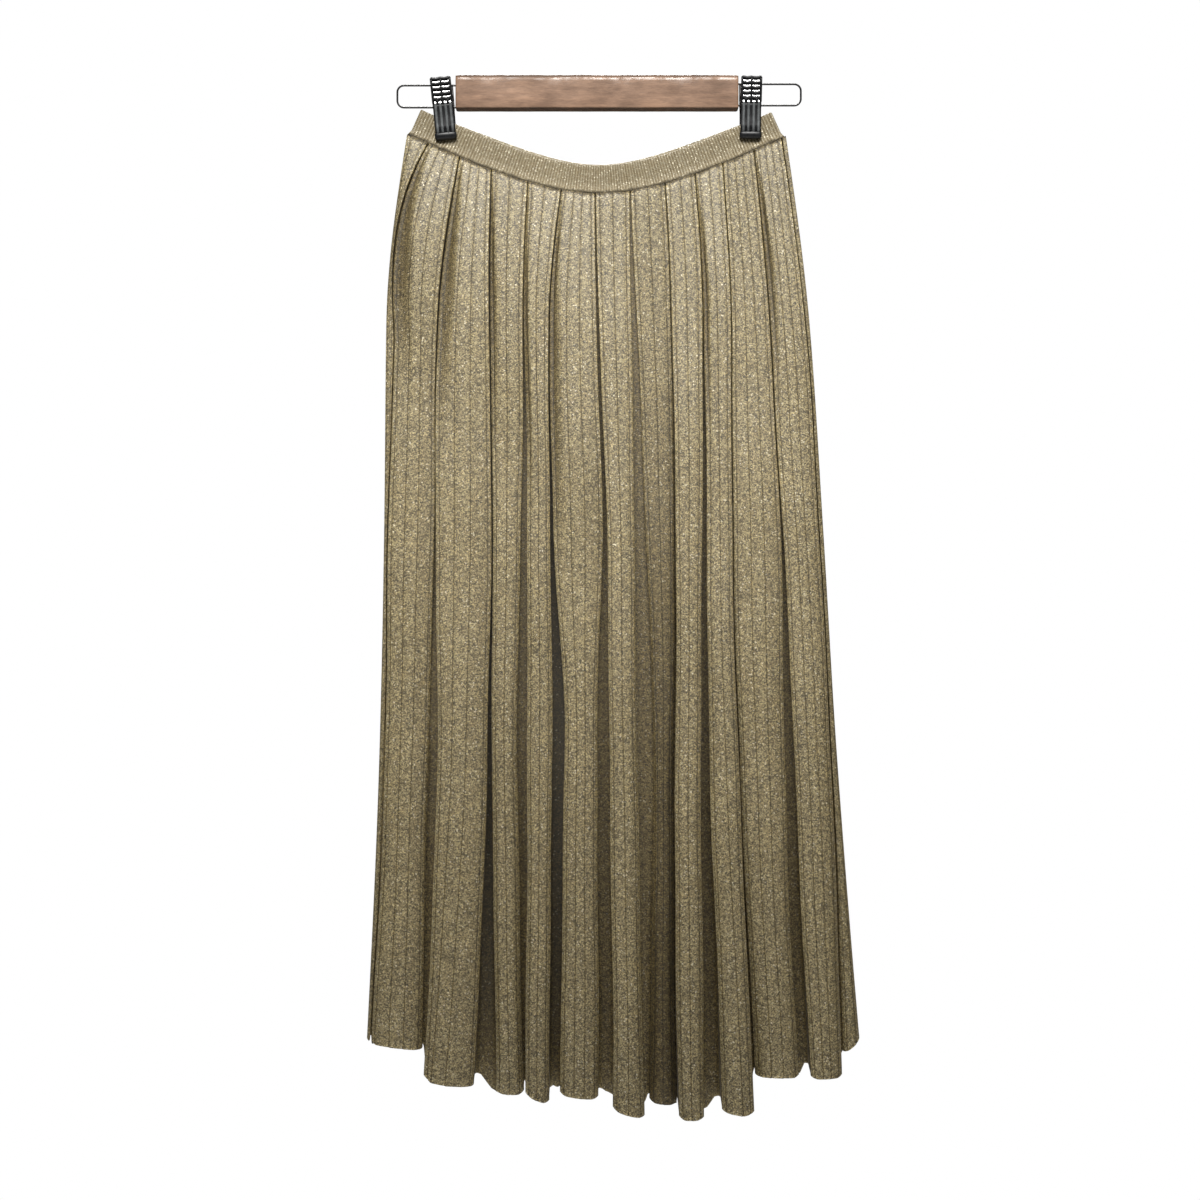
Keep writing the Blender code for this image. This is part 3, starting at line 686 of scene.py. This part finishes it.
class Shader:
    """A short way to write a material's nodes."""

    def __init__(self, name, colour, roughness, metallic=0.0):
        self.made = bpy.data.materials.new(name)
        self.made.use_nodes = True
        self.tree = self.made.node_tree
        self.surface = self.tree.nodes["Principled BSDF"]
        self.set("Base Color", (*colour, 1))
        self.set("Roughness", roughness)
        self.set("Metallic", metallic)

    def set(self, socket, value):
        """A constant on the surface."""
        self.surface.inputs[socket].default_value = value

    def feed(self, socket, source):
        """A link to the surface."""
        self.tree.links.new(source, self.surface.inputs[socket])

    def fill(self, socket, value):
        """A link or a constant on a node's socket."""
        if isinstance(value, bpy.types.NodeSocket):
            self.tree.links.new(value, socket)
        else:
            socket.default_value = value

    def node(self, kind, inputs=None, **settings):
        """A node with its settings and inputs."""
        made = self.tree.nodes.new(kind)
        for name, value in settings.items():
            setattr(made, name, value)
        for name, value in (inputs or {}).items():
            self.fill(made.inputs[name], value)
        return made

    def places(self, scale=(1, 1, 1)):
        """The piece's own coordinates in metres, scaled."""
        here = self.node("ShaderNodeTexCoord").outputs["Object"]
        return self.node("ShaderNodeMapping", {"Vector": here, "Scale": scale}).outputs["Vector"]

    def attribute(self, name, output="Fac"):
        """What a mesh says of each of its points."""
        return self.node("ShaderNodeAttribute", attribute_name=name).outputs[output]

    def parts(self, vector):
        """A vector's three numbers."""
        return self.node("ShaderNodeSeparateXYZ", {0: vector}).outputs

    def noise(self, scale, vector=None, detail=2.0, roughness=0.5):
        """Soft noise."""
        inputs = {"Scale": scale, "Detail": detail, "Roughness": roughness}
        inputs["Vector"] = vector or self.places()
        return self.node("ShaderNodeTexNoise", inputs).outputs["Fac"]

    def cells(self, size):
        """Random numbers for each small cell."""
        inputs = {"Scale": 1 / size, "Vector": self.places()}
        colour = self.node("ShaderNodeTexVoronoi", inputs).outputs["Color"]
        return self.node("ShaderNodeSeparateColor", {0: colour}).outputs

    def spread(self, value, low, high, to_low, to_high):
        """A value's range moved to another range, and held there."""
        inputs = {"Value": value, "From Min": low, "From Max": high, "To Min": to_low, "To Max": to_high}
        return self.node("ShaderNodeMapRange", inputs).outputs["Result"]

    def vary(self, noise, low, high):
        """Noise moved to a range."""
        return self.spread(noise, *NOISE_RANGE, low, high)

    def math(self, operation, one, two=0.0):
        """One operation on two numbers."""
        return self.node("ShaderNodeMath", {0: one, 1: two}, operation=operation).outputs[0]

    def joined(self, operation, *values):
        """One operation on several numbers, from the first to the last."""
        made = values[0]
        for value in values[1:]:
            made = self.math(operation, made, value)
        return made

    def times(self, *values):
        """The product of numbers."""
        return self.joined("MULTIPLY", *values)

    def mix(self, share, one, two, blend="MIX"):
        """Two colours mixed."""
        made = self.node("ShaderNodeMix", {0: share}, data_type="RGBA", blend_type=blend)
        for place, value in ((6, one), (7, two)):
            self.fill(made.inputs[place], value if isinstance(value, bpy.types.NodeSocket) else (*value, 1))
        return made.outputs[2]

    def brighten(self, colour, factor):
        """A colour times a number."""
        grey = self.node("ShaderNodeCombineColor", {0: factor, 1: factor, 2: factor}).outputs[0]
        return self.mix(1.0, colour, grey, "MULTIPLY")

    def bump(self, height, distance, strength):
        """A normal that follows a height."""
        inputs = {"Height": height, "Distance": distance, "Strength": strength}
        return self.node("ShaderNodeBump", inputs).outputs["Normal"]


def knit_material(name, knit):
    """Fine metallic knit: speckled grain, small glints, painted highlights on folds and hem, painted shade.
    """
    shader = Shader(name, knit.colour, 0.55)
    grain = shader.cells(knit.grain_size)[0]
    fine = shader.noise(1.2 / knit.grain_size, roughness=0.6)
    soft = shader.noise(110.0)
    streak = shader.noise(1.0, shader.places((170, 170, 7)))
    broad = shader.noise(7.0)
    sunk = shader.attribute("sunk")
    painted_shade = shader.attribute("painted_shade")
    across, below, to_hem = shader.parts(shader.attribute("cloth", "Vector"))

    # Painted shadow of the band along the seam, with a ragged edge.
    ragged = shader.math("ADD", below, shader.vary(shader.noise(260.0), -SEAM_RAGGED, SEAM_RAGGED))
    seam = shader.spread(ragged, *SEAM_LINE, 1, 0)
    # Painted highlight on the fold rims, and along the hem where no shade is painted.
    at_hem = shader.times(shader.spread(to_hem, 0, HEM_EDGE, 1, 0), shader.math("SUBTRACT", 1, painted_shade))
    edge = shader.joined("MAXIMUM", shader.spread(sunk, -1, 0, 1, 0), at_hem, 0.0)
    # Yarn grain and tone, then painted shade, painted highlights and the seam's painted shadow and light.
    level = shader.times(
        shader.spread(grain, 0, 1, 1 - knit.grain_depth, 1 + knit.grain_depth),
        shader.vary(fine, 1 - 1.2 * knit.grain_depth, 1 + 1.2 * knit.grain_depth),
        shader.vary(soft, 0.97, 1.03),
        shader.vary(streak, 0.98, 1.02),
        shader.vary(broad, 0.96, 1.04),
        shader.spread(sunk, 0.15, 1, 1, knit.line_shade),
        shader.spread(edge, 0, 1, 1, PAINTED_EDGE_HIGHLIGHT),
        shader.math("POWER", PAINTED_SHADE_LEVEL, painted_shade),
        shader.spread(seam, 0, 1, 1, SEAM_SHADE),
        shader.spread(ragged, *BELOW_SEAM, PAINTED_LIGHT_BELOW_SEAM, 1),
    )

    warm, cool = (
        tuple(part * tint for part, tint in zip(knit.colour, tints, strict=True))
        for tints in (WARM_TINT, COOL_TINT)
    )
    yarn = shader.mix(shader.times(grain, shader.vary(soft, 0.7, 1.3)), warm, cool)
    # A warm tint in painted shade, on sunk lines and in the seam's painted shadow.
    dark = shader.mix(shader.joined("MAXIMUM", painted_shade, sunk, seam), (1.0, 1.0, 1.0), PAINTED_SHADE_TINT)
    base = shader.brighten(shader.mix(1.0, yarn, dark, "MULTIPLY"), level)

    # Less gloss and fewer glints in painted shade, on sunk lines and at the seam.
    gloss = shader.times(
        shader.spread(painted_shade, 0, 1, 1, GLOSS_IN_RECESS),
        shader.spread(sunk, 0.1, 1, 1, GLOSS_LEFT),
        shader.spread(seam, 0, 1, 1, GLOSS_LEFT),
    )
    # Glints come a little more often on the painted highlight of rims and hem.
    spark = shader.math("ADD", shader.cells(GLINT_SIZE)[1], shader.times(edge, 0.08))
    glint = shader.spread(spark, 1 - knit.glint_share, 1 - 0.6 * knit.glint_share, 0, 1)
    glint = shader.times(glint, gloss)
    shader.feed("Base Color", shader.mix(shader.times(glint, 0.7), base, GLINT))
    shader.feed("Metallic", shader.times(glint, 0.45))
    shader.feed("Roughness", shader.spread(glint, 0, 1, 0.58, 0.42))

    wale = shader.math("ABSOLUTE", shader.math("SINE", shader.times(across, math.pi / STITCH)))
    rows = shader.times(below, 2 * math.pi / (STITCH * 0.8))
    course = shader.math("SINE", shader.math("ADD", rows, shader.times(wale, 2.2)))
    relief = ((wale, 0.3), (course, 0.2), (fine, 1.2), (soft, 0.5))
    height = shader.joined("ADD", *(shader.times(part, share) for part, share in relief))
    shader.feed("Normal", shader.bump(height, 0.0005, 0.8))

    shader.feed("Coat Weight", shader.times(gloss, 0.6))
    shader.set("Coat Roughness", 0.48)
    shader.set("Coat IOR", 1.7)
    shader.set("Sheen Weight", 0.1)
    shader.set("Sheen Roughness", 0.4)
    shader.set("Specular IOR Level", 0.9)
    shader.set("Specular Tint", (1.0, 0.94, 0.84, 1))
    return shader.made


def wood_material():
    """Pinkish brown wood with a mottled figure, a fine grain along the bar and a satin varnish."""
    shader = Shader("brown_wood", (0.28, 0.16, 0.1), 0.45)
    fibre = shader.noise(1.0, shader.places((22, 300, 300)), detail=5.0, roughness=0.65)
    figure = shader.noise(1.0, shader.places((26, 60, 75)), detail=4.0, roughness=0.6)
    pores = shader.noise(1.0, shader.places((160, 1300, 1300)))
    height = shader.parts(shader.places())[2]
    colour = shader.mix(shader.spread(figure, 0.35, 0.65, 0, 1), (0.27, 0.155, 0.095), (0.5, 0.295, 0.185))
    level = shader.times(
        shader.vary(fibre, 0.84, 1.14),
        shader.spread(pores, 0.3, 0.6, 0.82, 1.05),
        # Painted shade along the bar's top and bottom edges.
        shader.spread(height, *BAR_TOP_PAINTED_SHADE, 1, 0.45),
        shader.spread(height, *BAR_LOW_PAINTED_SHADE, 0.5, 1),
    )
    shader.feed("Base Color", shader.brighten(colour, level))
    shader.feed("Roughness", shader.spread(figure, 0.35, 0.65, 0.6, 0.48))
    shader.feed("Normal", shader.bump(fibre, 0.0003, 0.4))
    shader.feed("Coat Weight", shader.spread(shader.noise(90.0, detail=3.0), 0.42, 0.6, 0.1, 0.75))
    shader.set("Coat Roughness", 0.08)
    return shader.made


def clip_material():
    """Dark grey plastic, a little uneven, with a painted highlight on the ribs."""
    shader = Shader("dark_plastic", (0.03, 0.032, 0.035), 0.36)
    worn = shader.noise(220.0, detail=4.0)
    # Painted highlight: the ribs are lighter grey.
    colour = shader.mix(shader.attribute("painted_rib_highlight"), (0.012, 0.013, 0.015), (0.15, 0.16, 0.165))
    shader.feed("Base Color", shader.brighten(colour, shader.vary(worn, 0.75, 1.3)))
    shader.feed("Roughness", shader.vary(worn, 0.3, 0.45))
    shader.feed("Normal", shader.bump(shader.noise(1200.0), 0.00005, 0.3))
    return shader.made


def metal_material(name, colour, roughness, metallic):
    """Painted or bare metal, a little uneven."""
    shader = Shader(name, colour, roughness, metallic)
    worn = shader.noise(300.0, detail=3.0)
    shader.feed("Base Color", shader.brighten(colour, shader.vary(worn, 0.85, 1.15)))
    shader.feed("Roughness", shader.vary(worn, roughness * 0.85, roughness * 1.2))
    return shader.made


def wire(name, points, radius, finish):
    """A round wire along points in millimetres."""
    path = bpy.data.curves.new(name, "CURVE")
    path.dimensions = "3D"
    path.bevel_depth = radius * MM
    path.bevel_resolution = 5
    path.use_fill_caps = True
    spline = path.splines.new("POLY")
    spline.points.add(len(points) - 1)
    for place, point in zip(spline.points, points, strict=True):
        place.co = (*(c * MM for c in point), 1)
    path.materials.append(finish)
    made = bpy.data.objects.new(name, path)
    bpy.context.scene.collection.objects.link(made)
    return made


def bar_profile():
    """The bar's section as Y and Z: worn at the front of its top, rounded at its three other long edges."""
    half = BAR_DEPTH / 2
    profile = list(BAR_WORN_EDGE)
    for k, (y, z) in enumerate(((half, 0), (half, -BAR_HEIGHT), (-half, -BAR_HEIGHT))):
        centre_y = y - math.copysign(BAR_ROUNDING, y)
        centre_z = z - BAR_ROUNDING if k == 0 else z + BAR_ROUNDING
        for step in range(BAR_CORNER_STEPS + 1):
            angle = math.radians(90 - 90 * k - 90 * step / BAR_CORNER_STEPS)
            along_y, along_z = BAR_ROUNDING * math.cos(angle), BAR_ROUNDING * math.sin(angle)
            profile.append((centre_y + along_y, centre_z + along_z))
    return profile


def hanger_bar(finish):
    """The bar with its worn and rounded long edges, a slight wave along it, and its two flat ends."""
    profile = bar_profile()
    places = [BAR_LEFT + step for step in BAR_END_STEPS]
    places += list(np.linspace(BAR_LEFT + 4, BAR_RIGHT - 4, 60))
    places += [BAR_RIGHT - step for step in reversed(BAR_END_STEPS)]
    points = []
    for x in places:
        end = min(x - BAR_LEFT, BAR_RIGHT - x)
        shrink = BAR_END_SHRINK * (1 - min(1, end / BAR_END_STEPS[-1])) ** 2
        for y, z in profile:
            wave = 0.12 * math.sin(0.11 * x + 0.3 * z) + 0.08 * math.sin(0.37 * x)
            inward = math.copysign(shrink, -z - BAR_HEIGHT / 2)
            points.append((x, y * (1 - shrink / (BAR_DEPTH / 2)) + wave * (end > 3), z + inward))
    count = len(profile)
    faces = grid_faces(len(places), count, closed=True)
    faces += [tuple(range(count)), tuple((len(places) - 1) * count + k for k in reversed(range(count)))]
    return mesh_from("brown_bar", points, faces, finish)


def loop_points(side_name):
    """The flat wire loop out of one end of the bar."""
    outer_x, top_z, bottom_z = LOOPS[side_name]
    side = -1 if side_name == "left" else 1
    inside = (BAR_LEFT if side < 0 else BAR_RIGHT) - side * WIRE_IN_BAR
    x = outer_x - side * (WIRE_RADIUS + WIRE_CORNER)
    points = [(inside, 0, top_z)]
    for z, start in ((top_z - WIRE_CORNER, 90), (bottom_z + WIRE_CORNER, 0)):
        for step in range(10):
            angle = math.radians(start - 10 * step)
            points.append((x + side * WIRE_CORNER * math.cos(angle), 0, z + WIRE_CORNER * math.sin(angle)))
    return [*points, (inside, 0, bottom_z)]


def clip_place(clip, jaw_name):
    """Where a jaw stands: the two face away from each other across the wire loop."""
    turn = 180 if jaw_name == "back" else 0
    tilt = clip.tilt if jaw_name == "back" else -clip.tilt
    place = Matrix.Translation((clip.x, 0, clip.z))
    return place @ Matrix.Rotation(math.radians(turn), 4, "Z") @ Matrix.Rotation(math.radians(tilt), 4, "Y")


def jaw_y(z):
    """The front of a jaw at a height."""
    return float(np.interp(-z, [-height for height, _ in JAW_FRONT], [y for _, y in JAW_FRONT]))


def down_jaw(x, heights, inward):
    """A path down a jaw, a distance in from its front."""
    return [(x, jaw_y(z) + inward, z) for z in heights]


def bar_section(half_width, half_depth, corners=10):
    """A rounded bar's section: offsets across and in depth."""
    ring = []
    for k in range(corners):
        angle = 2 * math.pi * (k + 0.5) / corners
        across, depth = math.cos(angle), math.sin(angle)
        ring.append((
            half_width * math.copysign(abs(across) ** 0.55, across),
            half_depth * math.copysign(abs(depth) ** 0.55, depth),
        ))
    return ring


class JawShape:
    """Bars in a jaw's own place, which become one piece."""

    def __init__(self):
        self.points = []
        self.faces = []
        self.marks = []

    def sweep(self, path, sections, along="Z", mark=0):
        """A bar along a path on the X or the Z axis, with one section or one at each point."""
        first = len(self.points)
        if not isinstance(sections[0], list):
            sections = [sections] * len(path)
        for (x, y, z), section in zip(path, sections, strict=True):
            for across, depth in section:
                self.points.append((x, y + depth, z + across) if along == "X" else (x + across, y + depth, z))
                self.marks.append(mark)
        count = len(sections[0])
        last = first + (len(path) - 1) * count
        rings = grid_faces(len(path), count, closed=True)
        self.faces.extend(tuple(first + k for k in face) for face in rings)
        self.faces.append(tuple(first + k for k in range(count)))
        self.faces.append(tuple(last + k for k in reversed(range(count))))

    def placed(self, name, matrix, finish):
        """The piece where it stands."""
        return mesh_from(name, [matrix @ Vector(point) for point in self.points], self.faces, finish)


def add_lattice(shape):
    """The open grip: three long posts, five cross bars with a slight wave, and short posts below them."""
    low = CLIP_TOP - (LATTICE_ROWS - 1) * LATTICE_PITCH
    hole_low = low - HOLE_HEIGHT
    heights = np.linspace(CLIP_TOP + 0.4, hole_low, 9)
    side_x = CLIP_HALF - POST_INSET
    for x, half in ((-side_x, POST_HALF), (0, MIDDLE_POST_HALF), (side_x, POST_HALF)):
        shape.sweep(down_jaw(x, heights, POST_DEPTH), bar_section(half, POST_DEPTH))
    for row in range(LATTICE_ROWS):
        z = CLIP_TOP - row * LATTICE_PITCH
        path = []
        for x in np.linspace(-CLIP_HALF + LATTICE_INSET, CLIP_HALF - LATTICE_INSET, 13):
            rise = LATTICE_SAG * math.cos(math.pi * x / LATTICE_WAVE) ** 2
            path.append((x, jaw_y(z) + 1.0, z + rise - LATTICE_DROP))
        shape.sweep(path, bar_section(LATTICE_BAR, LATTICE_DEPTH), along="X")
    for x in HOLE_POSTS:
        path = down_jaw(x, (low + 0.4, low - 2, hole_low - 1), POST_DEPTH)
        shape.sweep(path, bar_section(HOLE_POST_HALF, HOLE_POST_DEPTH))


def add_plate(shape):
    """The plate with its four ribs, and the foot that holds the cloth."""
    path = down_jaw(0, (RIB_TOP + 0.6, *PLATE_HEIGHTS), PLATE_IN)
    shape.sweep(path, bar_section(CLIP_HALF - 0.2, PLATE_DEPTH, 16))
    for x in RIB_PLACES:
        inset = math.copysign(OUTER_RIB_INSET, x) if abs(x) > CLIP_HALF / 2 else 0
        path = down_jaw(x - inset, (RIB_TOP, RIB_TOP - 0.8, *PLATE_HEIGHTS), RIB_IN)
        # The ribs are marked for their painted highlight.
        shape.sweep(path, bar_section(RIB_HALF, RIB_DEPTH), mark=1)
    path = down_jaw(0, [z for z, _, _ in FOOT], FOOT_IN)
    shape.sweep(path, [bar_section(half, depth, 16) for _, half, depth in FOOT])


def add_cheeks(shape):
    """The cheeks at both sides, from the front back to the spring."""
    for x in (-CLIP_HALF + POST_INSET, CLIP_HALF - POST_INSET):
        for high, low in CHEEKS:
            path = [(x, (jaw_y(z) + CHEEK_BACK_Y) / 2 + 0.6, z) for z in (high, (high + low) / 2, low)]
            half_depth = abs(jaw_y(low) - CHEEK_BACK_Y) / 2 - 0.7
            shape.sweep(path, bar_section(CHEEK_HALF, half_depth, 14))


def jaw(clip, place, finish):
    """A jaw: an open lattice as its grip, four ribs down its plate, a foot and two cheeks."""
    shape = JawShape()
    add_lattice(shape)
    add_plate(shape)
    add_cheeks(shape)
    made = shape.placed(f"jaw_{clip.side}_{place}", clip_place(clip, place), finish)
    add_numbers(made, "painted_rib_highlight", shape.marks)
    return made


def spring_leaf(clip, place, finish):
    """The bright leaf behind a jaw's lattice, bent into one small step behind each row of openings."""
    path = []
    for row in range(LATTICE_ROWS):
        high = CLIP_TOP - row * LATTICE_PITCH
        y = jaw_y(high - LATTICE_PITCH / 2) + LEAF_DEPTH
        path += [(0, y + LEAF_STEP / 2, high - 0.05), (0, y - LEAF_STEP / 2, high - LATTICE_PITCH)]
    shape = JawShape()
    shape.sweep(path, bar_section(CLIP_HALF - 1.2, 0.15, 8))
    made = shape.placed(f"leaf_{clip.side}_{place}", clip_place(clip, place), finish)
    made.data.shade_flat()
    return made


def coil_points(clip):
    """A torsion spring's turns along X, between the clip's two jaws."""
    count = SPRING_TURNS * SPRING_STEPS
    points = []
    for k in range(count + 1):
        angle = 2 * math.pi * k / SPRING_STEPS
        x = SPRING_SPAN * (k / count - 0.5)
        local = Vector((x, SPRING_COIL * math.cos(angle), SPRING_Z + SPRING_COIL * math.sin(angle)))
        points.append(clip_place(clip, "front") @ local)
    return points


def own(piece, slot, *nodes):
    """The piece rides on the body and stands for the nodes, which are hidden. The slot is not used."""
    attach(piece, BODY)
    if nodes:
        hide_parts(*nodes)
    return piece


def camera():
    """A plain camera that looks straight ahead, as in the photograph."""
    data = bpy.data.cameras.new("camera")
    data.sensor_width = SENSOR
    data.lens = SENSOR * EYE_DISTANCE / FRAME_WIDTH
    made = bpy.data.objects.new("camera", data)
    made.location = (EYE_X * MM, -EYE_DISTANCE * MM, EYE_Z * MM)
    made.rotation_euler = (math.pi / 2, 0, 0)
    bpy.context.scene.collection.objects.link(made)
    bpy.context.scene.camera = made


def lamp(name, side):
    """A wide soft lamp above the skirt, in front of it or behind it."""
    data = bpy.data.lights.new(name, "AREA")
    data.shape = "RECTANGLE"
    data.size, data.size_y = LAMP_SIZE
    data.energy = LAMP_POWER
    data.color = LAMP_COLOUR
    data.spread = math.radians(LAMP_BEAM)
    made = bpy.data.objects.new(name, data)
    made.location = (0, LAMP_OUT * side, LAMP_HEIGHT)
    made.rotation_euler = (Vector(LAMP_AIM) - made.location).to_track_quat("-Z", "Y").to_euler()
    made.visible_camera = False
    bpy.context.scene.collection.objects.link(made)


def room():
    """A white room to look at, which lights the skirt only a little."""
    world = bpy.data.worlds.new("room")
    world.use_nodes = True
    nodes, links = world.node_tree.nodes, world.node_tree.links
    shown = nodes["Background"]
    shown.inputs["Color"].default_value = (1, 1, 1, 1)
    shown.inputs["Strength"].default_value = 1.0
    dim = nodes.new("ShaderNodeBackground")
    dim.inputs["Color"].default_value = ROOM_COLOUR
    dim.inputs["Strength"].default_value = ROOM_LEVEL
    rays = nodes.new("ShaderNodeLightPath")
    choice = nodes.new("ShaderNodeMixShader")
    links.new(rays.outputs["Is Camera Ray"], choice.inputs[0])
    links.new(dim.outputs[0], choice.inputs[1])
    links.new(shown.outputs[0], choice.inputs[2])
    links.new(choice.outputs[0], nodes["World Output"].inputs[0])
    bpy.context.scene.world = world
    bpy.context.scene.view_settings.view_transform = "Standard"


def floor():
    """A plain pale floor below the skirt."""
    pale = Shader("pale_floor", (0.8, 0.8, 0.79), 0.7)
    ground = pale.mix(pale.vary(pale.noise(3.0), 0, 1), *FLOOR_COLOURS)
    pale.feed("Base Color", ground)
    pale.feed("Emission Color", ground)
    pale.set("Emission Strength", FLOOR_GLOW)
    corners = [
        (-FLOOR_HALF_WIDTH, FLOOR_FRONT, FLOOR_Z),
        (FLOOR_HALF_WIDTH, FLOOR_FRONT, FLOOR_Z),
        (FLOOR_HALF_WIDTH, FLOOR_BACK, FLOOR_Z),
        (-FLOOR_HALF_WIDTH, FLOOR_BACK, FLOOR_Z),
    ]
    mesh_from("floor", corners, [(0, 1, 2, 3)], pale.made)


camera()
lamp("front_light", -1)
lamp("back_light", 1)
room()
floor()
skirt_knit = knit_material("gold_knit", SKIRT_KNIT)
band_knit = knit_material("ribbed_gold_knit", BAND_KNIT)
dark_plastic = clip_material()
black_wire = metal_material("black_wire", (0.006, 0.006, 0.006), 0.3, 0.0)
spring_steel = metal_material("spring_steel", (0.45, 0.45, 0.45), 0.3, 1.0)
bright_steel = metal_material("bright_steel", (0.85, 0.86, 0.87), 0.25, 1.0)

front = own(pleated_panel("skirt_front_pleats", False, skirt_knit), "skirt_knit", "skirt_front")
back = own(pleated_panel("skirt_back_pleats", True, skirt_knit), "skirt_knit", "skirt_back")
band = own(waistband(band_knit), "rib_knit", "waistband")

own(hanger_bar(wood_material()), "hanger_wood", "hanger_bar")
for side_name in ("left", "right"):
    loop = wire(f"wire_{side_name}_loop", loop_points(side_name), WIRE_RADIUS, black_wire)
    own(loop, "black_wire", f"wire_loop_{side_name}")
for clip in CLIPS:
    coil = wire(f"coil_{clip.side}", coil_points(clip), SPRING_WIRE, spring_steel)
    own(coil, "spring_steel", f"clip_{clip.side}_spring")
    for place in ("front", "back"):
        own(jaw(clip, place, dark_plastic), "clip_plastic", f"clip_{clip.side}_{place}")
        own(spring_leaf(clip, place, bright_steel), "spring_steel", f"clip_{clip.side}_spring")
